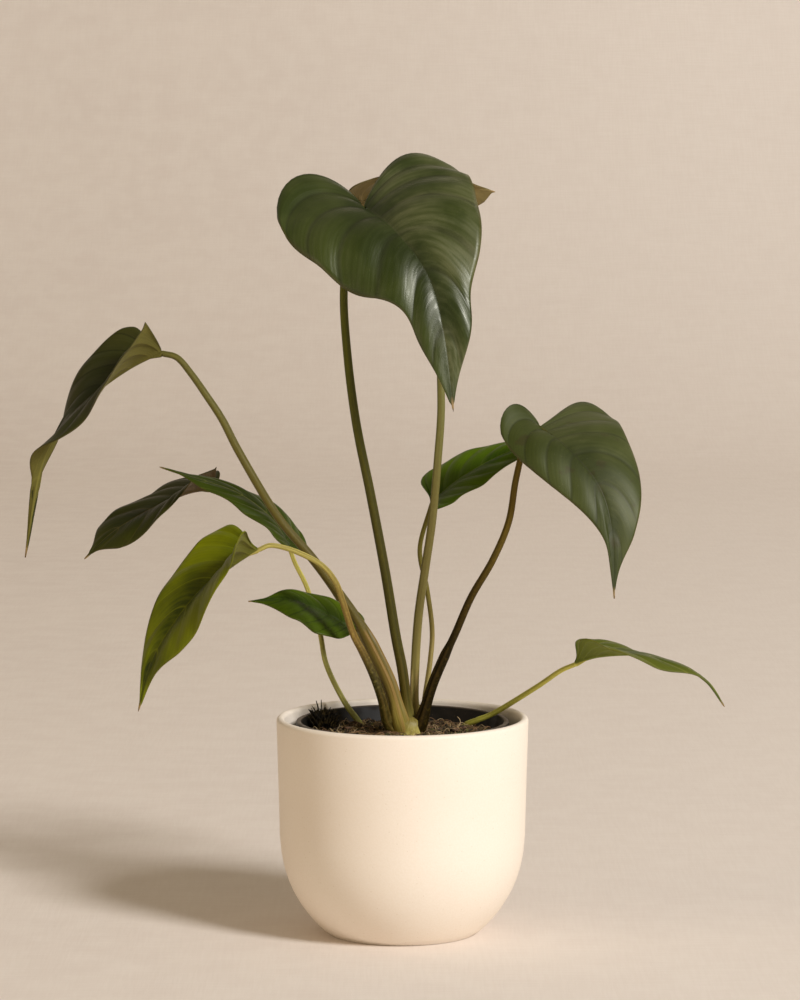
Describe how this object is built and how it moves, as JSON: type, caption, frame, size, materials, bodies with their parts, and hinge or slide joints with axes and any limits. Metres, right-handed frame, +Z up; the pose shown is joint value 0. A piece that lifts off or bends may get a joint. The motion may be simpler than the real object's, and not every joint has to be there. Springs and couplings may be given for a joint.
{
  "type": "potted homalomena plant",
  "caption": "Potted homalomena with heart-shaped leaves on long stalks, in a nursery pot standing in a round cream ceramic pot.",
  "frame": {"origin": "centre of the ceramic pot's flat base", "axes": "+Z up, -Y towards the viewer of the picture, +X to the right in the picture"},
  "size_m": [0.3974, 0.1924, 0.442],
  "materials": {
    "ceramic": "matte, finely grained",
    "nursery_plastic": "satin black",
    "soil": "rough, dark, damp",
    "stalk": "satin",
    "leaf": "satin, glossy in places"
  },
  "bodies": {
    "root": {"ceramic_pot": "ceramic", "nursery_pot": "nursery_plastic", "soil": "soil", "crown": "stalk", "petiole_01": "stalk", "petiole_02": "stalk", "petiole_03": "stalk", "petiole_04": "stalk", "petiole_05": "stalk", "petiole_06": "stalk", "petiole_07": "stalk", "petiole_08": "stalk", "petiole_09": "stalk", "petiole_10": "stalk", "blade_01": "leaf", "blade_02": "leaf", "blade_03": "leaf", "blade_04": "leaf", "blade_05": "leaf", "blade_06": "leaf", "blade_07": "leaf", "blade_08": "leaf", "blade_09": "leaf", "blade_10": "leaf"}
  },
  "joints": []
}
